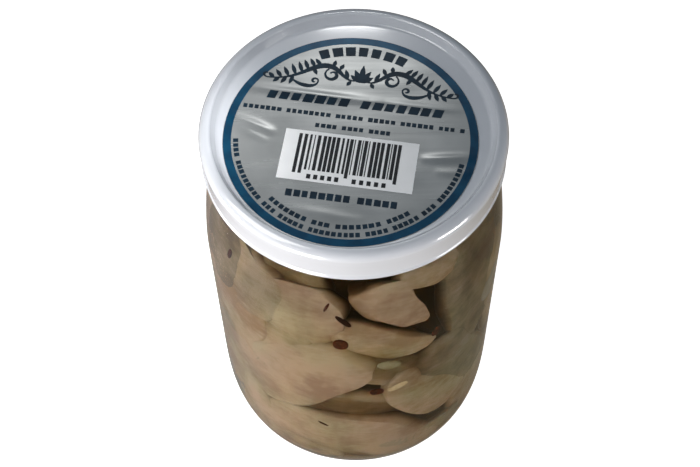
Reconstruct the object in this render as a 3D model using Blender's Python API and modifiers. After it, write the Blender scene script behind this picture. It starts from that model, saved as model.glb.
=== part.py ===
"""Pickled herring in a shut glass jar: a straight-sided wide-mouth jar with a rounded heel, a smooth white
screw lid with a raised rim, a round foil label lying in the lid's recess, and the herring pieces that
fill the jar. Metres, +Z up, origin at the middle of the base."""

import math

import bmesh
import bpy
from mathutils import Vector, noise

# Jar, outside
TOTAL_HEIGHT = 0.148
BODY_RADIUS = 0.0477
HEEL_HEIGHT = 0.030
HEEL_WIDTH = 0.008
HEEL_SQUARENESS = 3.0
SHOULDER_START = 0.096
SHOULDER_TOP = 0.1344
SHOULDER_EDGE = 0.0434
SHOULDER_CURVE = 1.5
NECK_RADIUS = 0.0423
MOUTH_TOP = 0.144
THREAD_HEIGHT = 0.1395
THREAD_DEPTH = 0.0012
THREAD_HALF_WIDTH = 0.0015
# Jar, glass thickness and base
WALL = 0.0024
BASE = 0.004
PUSH_UP = 0.0016
PUSH_UP_RADIUS = 0.028
RING_INNER = 0.032
NECK_INSIDE = 0.0400
JAR_SIDES = 48
# Lid
LID_RADIUS = 0.0457
LID_BOTTOM = 0.1355
PANEL_DEPTH = 0.003
PANEL_RADIUS = 0.041
CREST_RADIUS = 0.0429
CREST_ROUND = 0.0009
LID_SHOULDER = 0.0028
SHEET = 0.00055
SKIRT_PULL_IN = 0.0003
CURL = 0.00095
LID_SIDES = 48
# Label
LABEL_RADIUS = 0.0376
LABEL_OFFSET = (-0.00095, -0.0027)
LABEL_THICKNESS = 0.0002
GAP = 0.0003
# Contents
CORE_RADIUS = 0.0375
CORE_BOTTOM = 0.0085
CORE_TOP = 0.131
CORE_SIDES = 32
GLASS_FILM = 0.0009
PIECE_THICKNESS = 0.0105
PIECE_SQUARENESS = 3.1
PIECE_UNEVEN = 0.12
WALL_TOP = 0.1308
TOP_LIMIT = 0.1385
FRONT_CUTS = 3
BACK_CUTS = 2
SMALL_CUTS = 1
NOISE_SEED = 5

# Worked out from the sizes above
INSIDE_RADIUS = BODY_RADIUS - WALL
INSIDE_HEEL = HEEL_WIDTH - WALL
PANEL_TOP = TOTAL_HEIGHT - PANEL_DEPTH

# Herring pieces against the glass, as seen from the front: angle round the jar in degrees (0 is the
# front, positive to the right), height of the middle, length, width, tilt in degrees and how far the
# piece stands back from the glass
FRONT_PIECES = (
    (13.6, 0.1138, 0.033, 0.0168, -52, 0.0001),
    (31, 0.1245, 0.027, 0.0140, -10, 0.0012),
    (10, 0.0938, 0.037, 0.0160, -33, 0.0006),
    (-28.5, 0.0662, 0.065, 0.0380, 40, 0.0001),
    (-27, 0.1072, 0.034, 0.0300, -4, 0.0004),
    (-66, 0.1120, 0.044, 0.0260, 82, 0.0001),
    (-26, 0.1235, 0.024, 0.0180, 0, 0.0022),
    (56.5, 0.0945, 0.060, 0.0300, -84, 0.0014),
    (47.5, 0.0540, 0.060, 0.0270, -65, 0.0008),
    (30.5, 0.0488, 0.051, 0.0210, -57, 0.0003),
    (-5, 0.0270, 0.071, 0.0350, -12, 0.0003),
    (-60, 0.0780, 0.056, 0.0320, 66, 0.0018),
    (-62, 0.0400, 0.052, 0.0300, -61, 0.0012),
    (10, 0.0755, 0.032, 0.0200, -25, 0.0028),
    (68, 0.0240, 0.036, 0.0280, 12, 0.0012),
    (-34, 0.0110, 0.050, 0.0170, -2, 0.0010),
    (32, 0.0130, 0.052, 0.0190, -4, 0.0018),
    (-44, 0.0840, 0.050, 0.0300, 58, 0.0018),
    (56, 0.1190, 0.034, 0.0260, 8, 0.0034),
    (-30, 0.0430, 0.040, 0.0240, 30, 0.0040),
    (8, 0.0510, 0.040, 0.0200, -12, 0.0026),
    (-46, 0.1100, 0.036, 0.0260, 78, 0.0005),
    (76, 0.0800, 0.056, 0.0240, -84, 0.0014),
)
# The same list continued round the back by rule: rows of pieces from this angle on
BACK_START = 90
BACK_END = 278
BACK_COLUMNS = 5
BACK_ROWS = (0.0250, 0.0540, 0.0840, 0.1130)
BACK_SIZE = (0.050, 0.035)
BACK_TILTS = (8, 34, -22, 58, -40)
# Pieces lying on the floor of the jar and on top of the heap
FLOOR_PIECES = 3
FLOOR_RING = 0.0165
FLOOR_HEIGHT = 0.0103
TOP_PIECES = 4
TOP_RING = 0.0150
TOP_HEIGHT = 0.1330
LYING_SIZE = (0.048, 0.034, 0.0085)

# Onion slivers: angle, height, length, width and tilt
ONION_THICKNESS = 0.0016
ONIONS = (
    (13.2, 0.0808, 0.0085, 0.0058, -20),
    (118, 0.0690, 0.026, 0.0050, 20),
    (176, 0.1010, 0.024, 0.0046, -35),
    (236, 0.0450, 0.027, 0.0050, 50),
)
# Spices pressed between fish and glass: angle, height, length, width and tilt
SPICE_THICKNESS = 0.0019
SPICES = (
    (-5, 0.1093, 0.0070, 0.0020, -48),
    (-6, 0.0964, 0.0048, 0.0056, 0),
    (8.3, 0.0626, 0.0046, 0.0042, 4),
    (17, 0.0635, 0.0072, 0.0036, 26),
    (-57.9, 0.1150, 0.0058, 0.0020, 76),
    (-14.4, 0.0361, 0.0044, 0.0010, -34),
    (32.8, 0.0920, 0.0050, 0.0032, 75),
    (-11.5, 0.1155, 0.0048, 0.0009, 70),
    (104, 0.0930, 0.0046, 0.0040, 15),
    (141, 0.0420, 0.0060, 0.0024, -50),
    (198, 0.0760, 0.0050, 0.0042, 0),
    (221, 0.1120, 0.0062, 0.0024, 30),
    (262, 0.0880, 0.0048, 0.0036, -20),
)


def clear_scene():
    for old in list(bpy.data.objects):
        bpy.data.objects.remove(old)


def new_collection(name):
    collection = bpy.data.collections.new(name)
    bpy.context.scene.collection.children.link(collection)
    return collection


def new_material(name, colour, roughness, metallic=0.0, transmission=0.0):
    material = bpy.data.materials.new(name)
    material.use_nodes = True
    shader = material.node_tree.nodes["Principled BSDF"]
    shader.inputs["Base Color"].default_value = (*colour, 1.0)
    shader.inputs["Roughness"].default_value = roughness
    shader.inputs["Metallic"].default_value = metallic
    shader.inputs["Transmission Weight"].default_value = transmission
    return material


def new_object(name, mesh, collection, material):
    thing = bpy.data.objects.new(name, mesh)
    collection.objects.link(thing)
    mesh.materials.append(material)
    return thing


def arc(centre, radii, start, end, steps, squareness=2.0):
    """Points on an ellipse in the (radius, height) plane, or on a squarer form of one, angles in degrees
    from straight out."""
    points = []
    for step in range(steps + 1):
        angle = math.radians(start + (end - start) * step / steps)
        out, up = (
            math.copysign(abs(share) ** (2.0 / squareness), share)
            for share in (math.cos(angle), math.sin(angle))
        )
        points.append((centre[0] + radii[0] * out, centre[1] + radii[1] * up))
    return points


def turned(name, profile, sides, collection, material):
    """Turns a profile of (radius, height) points round the Z axis."""
    mesh = bpy.data.meshes.new(name)
    edges = [(i, i + 1) for i in range(len(profile) - 1)]
    mesh.from_pydata([(r, 0.0, z) for r, z in profile], edges, [])
    thing = new_object(name, mesh, collection, material)
    screw = thing.modifiers.new("Turn", "SCREW")
    screw.axis = "Z"
    screw.steps = sides
    screw.render_steps = sides
    screw.use_merge_vertices = True
    screw.merge_threshold = 0.00001
    screw.use_smooth_shade = True
    return thing


def wall_radius(height, radius, foot, heel, edge):
    """Radius of a face of the glass at a height: straight, with a slow curve in to the shoulder's edge
    and a tall, square one to the foot."""
    if height < HEEL_HEIGHT:
        drop = min((HEEL_HEIGHT - height) / (HEEL_HEIGHT - foot), 1.0)
        return radius - heel * (1.0 - (1.0 - drop**HEEL_SQUARENESS) ** (1.0 / HEEL_SQUARENESS))
    rise = (height - SHOULDER_START) / (SHOULDER_TOP - SHOULDER_START)
    return radius - (radius - edge) * min(max(rise, 0.0), 1.0) ** SHOULDER_CURVE


def inner_radius(height):
    """Radius of the inside of the glass at a height."""
    return wall_radius(height, INSIDE_RADIUS, BASE, INSIDE_HEEL, NECK_INSIDE)


def shoulder(radius, edge, steps):
    """Points up the shoulder of one face of the glass."""
    rise = SHOULDER_TOP - SHOULDER_START
    heights = [SHOULDER_START + rise * step / steps for step in range(steps + 1)]
    return [(wall_radius(z, radius, 0.0, 0.0, edge), z) for z in heights]


def jar_profile():
    """From the middle of the floor up the inside, over the mouth and down the outside to the base."""
    inner_centre = (INSIDE_RADIUS - INSIDE_HEEL, HEEL_HEIGHT)
    outer_centre = (BODY_RADIUS - HEEL_WIDTH, HEEL_HEIGHT)
    inner_heel = (INSIDE_HEEL, HEEL_HEIGHT - BASE)
    outer_heel = (HEEL_WIDTH, HEEL_HEIGHT)
    lip = (NECK_RADIUS - NECK_INSIDE) / 2
    profile = [(0.0, BASE + PUSH_UP), (PUSH_UP_RADIUS, BASE + PUSH_UP * 0.8)]
    profile += arc(inner_centre, inner_heel, -90, 0, 5, HEEL_SQUARENESS)
    profile += shoulder(INSIDE_RADIUS, NECK_INSIDE, 4)
    profile += arc((NECK_INSIDE + lip, MOUTH_TOP - lip), (lip, lip), 180, 0, 3)
    profile += [
        (NECK_RADIUS, THREAD_HEIGHT + THREAD_HALF_WIDTH),
        (NECK_RADIUS + THREAD_DEPTH, THREAD_HEIGHT),
        (NECK_RADIUS, THREAD_HEIGHT - THREAD_HALF_WIDTH),
        (NECK_RADIUS, SHOULDER_TOP),
    ]
    profile += shoulder(BODY_RADIUS, SHOULDER_EDGE, 4)[::-1]
    profile += arc(outer_centre, outer_heel, 0, -90, 6, HEEL_SQUARENESS)
    profile += [(RING_INNER, 0.0), (PUSH_UP_RADIUS, PUSH_UP), (0.0, PUSH_UP)]
    return profile


def lid_profile():
    """From the middle of the panel over the raised rim, down the skirt, round its curl and back inside."""
    shoulder = (CREST_RADIUS, TOTAL_HEIGHT - LID_SHOULDER)
    crest = (CREST_RADIUS, TOTAL_HEIGHT - CREST_ROUND)
    inside_shoulder = LID_SHOULDER - SHEET
    inside_crest = CREST_ROUND - SHEET
    skirt = LID_RADIUS - SKIRT_PULL_IN
    curl_centre = (LID_RADIUS - CURL, LID_BOTTOM + CURL)
    profile = [(0.0, PANEL_TOP), (PANEL_RADIUS - 0.0008, PANEL_TOP), (PANEL_RADIUS, PANEL_TOP + 0.0004)]
    profile += arc(crest, (CREST_ROUND, CREST_ROUND), 180, 90, 3)
    profile += arc(shoulder, (LID_SHOULDER, LID_SHOULDER), 72, 0, 4)
    profile += [(skirt, TOTAL_HEIGHT - 2 * LID_SHOULDER), (skirt, LID_BOTTOM + 3 * CURL)]
    profile += arc(curl_centre, (CURL, CURL), 30, -180, 4)
    profile += [(skirt - SHEET, LID_BOTTOM + 3 * CURL), (skirt - SHEET, TOTAL_HEIGHT - 2 * LID_SHOULDER)]
    profile += arc(shoulder, (inside_shoulder, inside_shoulder), 0, 72, 2)
    profile += arc(crest, (inside_crest, inside_crest), 90, 180, 1)
    profile += [(PANEL_RADIUS + 0.0002, PANEL_TOP - SHEET), (0.0, PANEL_TOP - SHEET)]
    return profile


def make_label(collection, material):
    mesh = bpy.data.meshes.new("lid_label")
    shape = bmesh.new()
    bmesh.ops.create_cone(
        shape,
        cap_ends=True,
        cap_tris=True,
        segments=LID_SIDES,
        radius1=LABEL_RADIUS,
        radius2=LABEL_RADIUS,
        depth=LABEL_THICKNESS,
    )
    shape.to_mesh(mesh)
    shape.free()
    label = new_object("lid_label", mesh, collection, material)
    label.location = (*LABEL_OFFSET, PANEL_TOP + GAP + LABEL_THICKNESS / 2)
    return label


def on_glass(angle, height, along, up, depth):
    """A point given along and up the glass from a spot on it, and inwards from it."""
    turn = math.radians(angle) + along / INSIDE_RADIUS
    z = min(max(height + up, BASE + PUSH_UP + GAP * 2), WALL_TOP)
    radius = inner_radius(z) - GAP - depth
    return Vector((radius * math.sin(turn), -radius * math.cos(turn), z))


def rounded_block(cuts):
    """A closed block with rounded edges, between -1 and 1 each way, as a bmesh."""
    block = bmesh.new()
    bmesh.ops.create_cube(block, size=2.0)
    bmesh.ops.subdivide_edges(block, edges=block.edges, cuts=cuts, use_grid_fill=True)
    bmesh.ops.triangulate(block, faces=block.faces)
    for vert in block.verts:
        x, y, z = (abs(value) ** PIECE_SQUARENESS for value in vert.co.normalized())
        vert.co = vert.co.normalized() / (x + y + z) ** (1 / PIECE_SQUARENESS)
    return block


def unevenness(spot, seed):
    """A smooth offset that differs from piece to piece, about -1 to 1 each way."""
    return noise.noise_vector(spot * 1.3 + Vector((seed * 7.31, seed * 3.17, seed * 5.77))) * 2


def wall_piece(seed, angle, height, length, width, tilt, inset, thickness, cuts):
    """A piece of fish lying against the glass: a rounded slab wrapped round the inside."""
    block = rounded_block(cuts)
    lean = math.radians(tilt)
    for vert in block.verts:
        spot = vert.co.copy()
        uneven = unevenness(spot, seed) * PIECE_UNEVEN
        along = (spot.x + uneven.x) * length / 2
        across = (spot.y + uneven.y) * width / 2
        belly = 1.0 - 0.25 * spot.y * (1 if seed % 2 else -1)
        depth = inset + thickness * (1.0 - spot.z * belly + uneven.z) / 2
        turned_along = along * math.cos(lean) - across * math.sin(lean)
        turned_up = along * math.sin(lean) + across * math.cos(lean)
        vert.co = on_glass(angle, height, turned_along, turned_up, max(depth, GLASS_FILM))
    return block


def small_piece(angle, height, length, width, tilt, thickness, cuts):
    """An onion sliver or a spice, flat against the glass."""
    block = rounded_block(cuts)
    lean = math.radians(tilt)
    for vert in block.verts:
        along = vert.co.x * length / 2
        across = vert.co.y * width / 2
        turned_along = along * math.cos(lean) - across * math.sin(lean)
        turned_up = along * math.sin(lean) + across * math.cos(lean)
        depth = thickness * (1.0 - vert.co.z) / 2
        vert.co = on_glass(angle, height, turned_along, turned_up, depth)
    return block


def lying_piece(seed, angle, ring, height, size):
    """A piece lying flat at a height, its middle on a ring round the axis."""
    block = rounded_block(BACK_CUTS)
    middle = Vector((ring * math.sin(angle), -ring * math.cos(angle), height))
    for vert in block.verts:
        spot = vert.co.copy()
        spot += unevenness(spot, seed) * PIECE_UNEVEN
        along = spot.x * size[0] / 2
        across = spot.y * size[1] / 2
        place = middle + Vector(
            (
                along * math.cos(angle) - across * math.sin(angle),
                along * math.sin(angle) + across * math.cos(angle),
                spot.z * size[2] / 2,
            )
        )
        place.z = min(max(place.z, BASE + PUSH_UP + GAP * 2), TOP_LIMIT)
        most = min(inner_radius(place.z), NECK_INSIDE) - GAP - GLASS_FILM
        reach = math.hypot(place.x, place.y)
        if reach > most:
            place.x *= most / reach
            place.y *= most / reach
        vert.co = place
    return block


def back_pieces():
    """The pieces round the back, in staggered columns, each with its own size and lean."""
    pieces = []
    step = (BACK_END - BACK_START) / (BACK_COLUMNS - 1)
    for column in range(BACK_COLUMNS):
        for row, height in enumerate(BACK_ROWS):
            number = column * len(BACK_ROWS) + row
            change = noise.noise_vector(Vector((number * 1.7, 4.2, 0.5)))
            angle = BACK_START + column * step + (row % 2) * step * 0.45 + change.x * 8
            length = BACK_SIZE[0] * (1 + 0.5 * change.y)
            width = BACK_SIZE[1] * (1 + 0.35 * change.z)
            tilt = BACK_TILTS[number % len(BACK_TILTS)] + change.x * 20
            inset = 0.0008 * (number % 3)
            pieces.append((angle, height + change.y * 0.004, length, width, tilt, inset))
    return pieces


def add_to_heap(block, number, collection):
    mesh = bpy.data.meshes.new(f"heap_piece_{number}")
    block.to_mesh(mesh)
    block.free()
    collection.objects.link(bpy.data.objects.new(mesh.name, mesh))


def outer_shell_only(mesh):
    """Drops sealed hollows and loose scraps: only the largest connected shell stays."""
    shape = bmesh.new()
    shape.from_mesh(mesh)
    left = set(shape.faces)
    shells = []
    while left:
        shell = set()
        waiting = [left.pop()]
        while waiting:
            face = waiting.pop()
            shell.add(face)
            for edge in face.edges:
                for beside in edge.link_faces:
                    if beside in left:
                        left.discard(beside)
                        waiting.append(beside)
        shells.append(shell)
    shells.sort(key=lambda shell: -sum(face.calc_area() for face in shell))
    scraps = [face for shell in shells[1:] for face in shell]
    bmesh.ops.delete(shape, geom=scraps, context="FACES")
    shape.to_mesh(mesh)
    shape.free()


def make_heap(collection, material):
    """The core with every piece that shows fused on, as one solid."""
    pieces = new_collection("heap pieces")
    blocks = []
    for seed, piece in enumerate(FRONT_PIECES):
        blocks.append(wall_piece(seed, *piece, PIECE_THICKNESS, FRONT_CUTS))
    for seed, piece in enumerate(back_pieces(), start=len(FRONT_PIECES)):
        blocks.append(wall_piece(seed, *piece, PIECE_THICKNESS, BACK_CUTS))
    for number in range(FLOOR_PIECES):
        angle = math.tau * number / FLOOR_PIECES
        blocks.append(lying_piece(50 + number, angle, FLOOR_RING, FLOOR_HEIGHT, LYING_SIZE))
    for number in range(TOP_PIECES):
        angle = math.tau * (number + 0.4) / TOP_PIECES
        blocks.append(lying_piece(60 + number, angle, TOP_RING, TOP_HEIGHT, LYING_SIZE))
    for onion in ONIONS:
        blocks.append(small_piece(*onion, ONION_THICKNESS, SMALL_CUTS))
    for spice in SPICES:
        blocks.append(small_piece(*spice, SPICE_THICKNESS, SMALL_CUTS))
    for number, block in enumerate(blocks):
        add_to_heap(block, number, pieces)

    mesh = bpy.data.meshes.new("herring_heap")
    core = bmesh.new()
    bmesh.ops.create_cone(
        core,
        cap_ends=True,
        segments=CORE_SIDES,
        radius1=CORE_RADIUS,
        radius2=CORE_RADIUS,
        depth=CORE_TOP - CORE_BOTTOM,
    )
    bmesh.ops.translate(core, verts=core.verts, vec=(0, 0, (CORE_TOP + CORE_BOTTOM) / 2))
    core.to_mesh(mesh)
    core.free()
    heap = new_object("herring_heap", mesh, collection, material)
    join = heap.modifiers.new("Fuse", "BOOLEAN")
    join.operation = "UNION"
    join.operand_type = "COLLECTION"
    join.collection = pieces
    join.solver = "MANIFOLD"
    graph = bpy.context.evaluated_depsgraph_get()
    fused = bpy.data.meshes.new_from_object(heap.evaluated_get(graph))
    heap.modifiers.remove(join)
    heap.data = fused
    for piece in list(pieces.objects):
        bpy.data.objects.remove(piece)
    bpy.data.collections.remove(pieces)
    outer_shell_only(fused)
    fused.shade_smooth()
    fused.set_sharp_from_angle(angle=math.radians(50))
    return heap


def main():
    clear_scene()
    noise.seed_set(NOISE_SEED)
    jar = new_collection("pickled herring")
    glass = new_material("clear glass", (0.95, 0.97, 0.96), 0.03, transmission=1.0)
    white = new_material("white lid paint", (0.86, 0.87, 0.89), 0.25)
    foil = new_material("silver foil", (0.62, 0.63, 0.64), 0.35, metallic=0.8)
    fish = new_material("herring flesh", (0.56, 0.47, 0.36), 0.5)
    turned("jar_glass", jar_profile(), JAR_SIDES, jar, glass)
    turned("lid", lid_profile(), LID_SIDES, jar, white)
    make_label(jar, foil)
    make_heap(jar, fish)


main()
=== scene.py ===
"""Looks of the shut jar of pickled herring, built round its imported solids: clear glass, the glossy white
lid, the wrinkled foil label with its blue print, and the herring, onion and spices in their brine.
Metres, +Z up, the jar's axis on Z, the camera in front at -Y."""

import math
import random

import bmesh
import bpy
from mathutils import Matrix, Vector, noise


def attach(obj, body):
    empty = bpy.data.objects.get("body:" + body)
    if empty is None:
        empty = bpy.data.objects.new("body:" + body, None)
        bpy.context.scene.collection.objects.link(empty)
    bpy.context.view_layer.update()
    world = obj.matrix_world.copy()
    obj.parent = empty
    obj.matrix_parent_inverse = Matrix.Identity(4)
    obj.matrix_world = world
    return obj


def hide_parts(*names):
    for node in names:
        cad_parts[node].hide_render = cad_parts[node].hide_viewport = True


# Jar, as in the solids
TOTAL_HEIGHT = 0.148
BODY_RADIUS = 0.0477
HEEL_HEIGHT = 0.030
HEEL_WIDTH = 0.008
HEEL_SQUARENESS = 3.0
SHOULDER_START = 0.096
SHOULDER_TOP = 0.1344
SHOULDER_EDGE = 0.0434
SHOULDER_CURVE = 1.5
NECK_RADIUS = 0.0423
MOUTH_TOP = 0.144
THREAD_HEIGHT = 0.1395
THREAD_DEPTH = 0.0012
THREAD_HALF_WIDTH = 0.0015
WALL = 0.0024
BASE = 0.004
PUSH_UP = 0.0016
PUSH_UP_RADIUS = 0.028
PUSH_UP_EDGE = 0.8
RING_INNER = 0.032
NECK_INSIDE = 0.0400
# Lid, as in the solids
LID_RADIUS = 0.0457
LID_BOTTOM = 0.1355
PANEL_DEPTH = 0.003
PANEL_RADIUS = 0.041
PANEL_FILLET = (0.001, 0.0008)
FLAT_MARGIN = 0.0002
CREST_RADIUS = 0.0429
CREST_ROUND = 0.0009
LID_SHOULDER = 0.0028
SHEET = 0.00055
SKIRT_PULL_IN = 0.0003
CURL = 0.00095
TURN_STEPS = 192
# Label
LABEL_RADIUS = 0.0376
LABEL_OFFSET = (-0.00095, -0.0027)
FOIL_LIFT = 0.00012
FOIL_RIPPLE = 0.00005
FOIL_WAVES = (70.0, 120.0, 3.0)
FOIL_FOOT = 0.00002
FOIL_RINGS = 64
FOIL_SIDES = 240
RING_RADIUS = 0.0351
RING_MIDDLE = 0.0364
RING_EDGE = 0.0001
RING_STEP = 2
PRINT_TILT = -9.4
PRINT_LIFT = 0.00003
PRINT_STEP = 0.0008
PRINT_SEED = 4
BARS_SEED = 12
# Contents
GAP = 0.0003
GLASS_FILM = 0.0009
GLASS_IOR = 1.5
BRINE_IOR = 1.34
CORE_RADIUS = 0.0350
CORE_BOTTOM = 0.0100
CORE_TOP = 0.1300
CORE_SIDES = 48
BRINE_TOP = 0.1392
INTO_WALL = 0.00015
PIECE_THICKNESS = 0.0105
PIECE_SQUARENESS = 3.1
PIECE_UNEVEN = 0.12
PIECE_FLATNESS = 1.7
PIECE_LEAN = 0.25
PIECE_FINE = 0.05
FINE_SCALE = 4.5
UNEVEN_SCALE = 1.3
UNEVEN_SHIFT = (7.31, 3.17, 5.77)
WALL_TOP = 0.1308
TOP_LIMIT = 0.1385
FRONT_CUTS = 22
BACK_CUTS = 14
SMALL_CUTS = 6
NOISE_SEED = 5
# Surround
WORLD_ABOVE = (0.09, 0.115, 0.14, 1.0)
WORLD_FRONT = (0.09, 0.065, 0.03, 1.0)
WORLD_LEFT = (0.36, 0.33, 0.32, 1.0)
WORLD_RIGHT = (0.20, 0.165, 0.11, 1.0)
FLOOR_HALF = 6
# Lamps: name, place, the point that they shine at, size, power in watts and colour
LAMPS = (
    ("key", (-0.09, -0.045, 0.25), (-0.01, -0.01, 0.145), (0.09, 0.09), 0.14, (1.0, 0.99, 0.98)),
    ("fill", (-0.15, -0.27, 0.07), (0.0, 0.0, 0.075), (0.12, 0.12), 0.95, (1.0, 0.97, 0.95)),
    ("side", (-0.28, -0.06, 0.06), (0.0, 0.0, 0.045), (0.10, 0.10), 0.42, (1.0, 0.97, 0.95)),
    ("right", (0.24, -0.16, 0.13), (0.0, 0.0, 0.10), (0.10, 0.10), 0.40, (1.0, 0.97, 0.96)),
    ("glare", (0.004, 0.685, 0.888), (0.0, 0.04, 0.145), (0.065, 0.022), 0.26, (1.0, 1.0, 1.0)),
)
# Narrow lamps with soft edges: name, place, the point that they shine at, power and cone in degrees
SPOT_RADIUS = 0.012
SPOTS = (
    ("rim_spot", (0.05, -0.10, 0.30), (-0.0425, 0.001, 0.147), 1.7, 13.5),
    ("low_spot", (-0.16, -0.22, 0.06), (-0.026, -0.036, 0.030), 0.6, 17.0),
)
# Camera and its sight line, fitted to the photograph
CAMERA_DOWN = 58.27
CAMERA_DISTANCE = 0.4622
CAMERA_ROLL = -0.74
CAMERA_TARGET = (-0.00147, 0.0, 0.08725)
LENS = 72.13

# Worked out from the sizes above
INSIDE_RADIUS = BODY_RADIUS - WALL
INSIDE_HEEL = HEEL_WIDTH - WALL
PANEL_TOP = TOTAL_HEIGHT - PANEL_DEPTH
FLOOR_INSIDE = BASE + PUSH_UP
FLOOR_EDGE = BASE + PUSH_UP * PUSH_UP_EDGE

# Herring pieces against the glass: tone, angle round the jar in degrees (0 is the front, positive to
# the right), height of the middle, length, width, tilt in degrees, how far it stands back from the
# glass, taper along its length and bow across it
FRONT_PIECES = (
    ("pink", 15.9, 0.1124, 0.0315, 0.0158, -52, 0.0001, -0.42, 0.00),
    ("tan", 31, 0.1245, 0.027, 0.0140, -10, 0.0012, 0.00, 0.00),
    ("tan", 10, 0.0938, 0.037, 0.0160, -33, 0.0006, -0.12, 0.03),
    ("pink", -28.5, 0.0672, 0.065, 0.0370, 40, 0.0001, 0.00, 0.00),
    ("pink", -27, 0.1072, 0.034, 0.0300, -4, 0.0004, 0.00, 0.00),
    ("blue", -68, 0.1120, 0.044, 0.0260, 82, 0.0005, 0.00, 0.00),
    ("green", -26, 0.1235, 0.024, 0.0180, 0, 0.0028, 0.00, 0.00),
    ("blue", 56.5, 0.0945, 0.060, 0.0300, -84, 0.0014, 0.00, 0.00),
    ("blue", 47.5, 0.0540, 0.060, 0.0270, -65, 0.0008, 0.00, 0.00),
    ("tan", 29.8, 0.0500, 0.046, 0.0210, -57, 0.0003, 0.10, 0.00),
    ("pink", -5, 0.0252, 0.071, 0.0350, -12, 0.0003, 0.00, -0.17),
    ("warm", -60, 0.0780, 0.056, 0.0320, 66, 0.0018, 0.00, 0.00),
    ("tan", -62, 0.0400, 0.052, 0.0300, -61, 0.0004, 0.00, 0.00),
    ("green", 10, 0.0755, 0.032, 0.0200, -25, 0.0028, 0.00, 0.00),
    ("tan", 68, 0.0240, 0.036, 0.0280, 12, 0.0012, 0.00, 0.00),
    ("pink", -34, 0.0110, 0.050, 0.0170, -2, 0.0005, 0.00, 0.00),
    ("green", 32, 0.0130, 0.052, 0.0190, -4, 0.0018, 0.00, 0.00),
    ("tan", -44, 0.0840, 0.050, 0.0300, 58, 0.0018, 0.00, 0.00),
    ("green", 56, 0.1190, 0.034, 0.0260, 8, 0.0034, 0.00, 0.00),
    ("tan", -30, 0.0430, 0.040, 0.0240, 30, 0.0044, 0.00, 0.00),
    ("green", 8, 0.0510, 0.040, 0.0200, -12, 0.0028, 0.00, 0.00),
    ("tan", -46, 0.1100, 0.036, 0.0260, 78, 0.0007, 0.00, 0.00),
    ("tan", 76, 0.0800, 0.056, 0.0240, -84, 0.0014, 0.00, 0.00),
)
BACK_START = 90
BACK_END = 278
BACK_COLUMNS = 5
BACK_ROWS = (0.0250, 0.0540, 0.0840, 0.1130)
BACK_SIZE = (0.050, 0.035)
BACK_TILTS = (8, 34, -22, 58, -40)
BACK_TONES = ("tan", "pink", "silver", "green", "warm", "tan", "silver")
# How far the rule shifts and turns them, in degrees, and changes their height, length and width
BACK_STAGGER = 0.45
BACK_SHIFT = 8
BACK_TURN = 20
BACK_LIFT = 0.004
BACK_CHANGE = (0.5, 0.35)
BACK_INSET = 0.0008
FLOOR_PIECES = 3
FLOOR_RING = 0.0165
FLOOR_HEIGHT = 0.0103
TOP_PIECES = 4
TOP_RING = 0.0150
TOP_HEIGHT = 0.1330
TOP_TURN = 0.4
LYING_SIZE = (0.048, 0.034, 0.0085)
FLOOR_SEED = 50
TOP_SEED = 60

# Flesh and skin tones: dark, middle, pale, and how metallic the surface is
TONES = {
    "pink": ((0.44, 0.34, 0.27), (0.56, 0.46, 0.36), (0.64, 0.55, 0.45), 0.0),
    "tan": ((0.40, 0.31, 0.22), (0.52, 0.43, 0.32), (0.62, 0.52, 0.42), 0.0),
    "green": ((0.32, 0.27, 0.19), (0.43, 0.39, 0.29), (0.52, 0.48, 0.39), 0.0),
    "blue": ((0.21, 0.18, 0.14), (0.30, 0.27, 0.20), (0.40, 0.35, 0.29), 0.1),
    "warm": ((0.41, 0.30, 0.19), (0.54, 0.42, 0.31), (0.63, 0.51, 0.40), 0.0),
    "silver": ((0.19, 0.20, 0.21), (0.37, 0.39, 0.37), (0.54, 0.54, 0.51), 0.35),
}
# Between these distances from the axis the fish goes from painted shade, a dark brown, to its own tone.
# Both shrink from this height up, with the shoulder
DEEP = 0.0392
NEAR_GLASS = 0.0437
NARROWS_FROM = 0.113
# Painted shade: the dark brown that the fish takes in the gaps between pieces, away from the glass
PAINTED_SHADE_TONE = (0.085, 0.055, 0.032)
# Wide patches of the flesh lean to these two tints
GREENISH = (0.94, 0.98, 0.88)
PINKISH = (1.0, 0.93, 0.89)

# Onion slivers: angle, height, length, width and tilt
ONION_THICKNESS = 0.0012
ONION_SQUARENESS = 1.7
ONION_DEPTH = 0.0003
ONIONS = (
    (13.2, 0.0808, 0.0085, 0.0058, -20),
    (118, 0.0690, 0.026, 0.0050, 20),
    (176, 0.1010, 0.024, 0.0046, -35),
    (236, 0.0450, 0.027, 0.0050, 50),
)
# Spices between fish and glass: kind, angle, height, length, width and tilt
SPICE_THICKNESS = 0.0017
SPICE_DEPTH = 0.0002
SPICES = (
    ("clove", -5, 0.1093, 0.0070, 0.0020, -48),
    ("berry", -6, 0.0964, 0.0048, 0.0056, 0),
    ("berry", 8.3, 0.0626, 0.0046, 0.0042, 4),
    ("stick", 17, 0.0635, 0.0072, 0.0036, 26),
    ("clove", -57.9, 0.1150, 0.0058, 0.0020, 76),
    ("clove", -14.4, 0.0361, 0.0044, 0.0010, -34),
    ("berry", 32.8, 0.0920, 0.0050, 0.0032, 75),
    ("clove", -11.5, 0.1155, 0.0048, 0.0009, 70),
    ("berry", 104, 0.0930, 0.0046, 0.0040, 15),
    ("clove", 141, 0.0420, 0.0060, 0.0024, -50),
    ("berry", 198, 0.0760, 0.0050, 0.0042, 0),
    ("clove", 221, 0.1120, 0.0062, 0.0024, 30),
    ("berry", 262, 0.0880, 0.0048, 0.0036, -20),
)

# How square each kind is, its material, and its dark and pale tones
SPICE_LOOKS = {
    "clove": (2.2, "dark_spice", (0.028, 0.002, 0.001), (0.055, 0.005, 0.002)),
    "berry": (2.3, "brown_berry", (0.050, 0.006, 0.001), (0.110, 0.018, 0.003)),
    "stick": (2.6, "pale_stick", (0.68, 0.53, 0.32), (0.80, 0.66, 0.42)),
}
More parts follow.
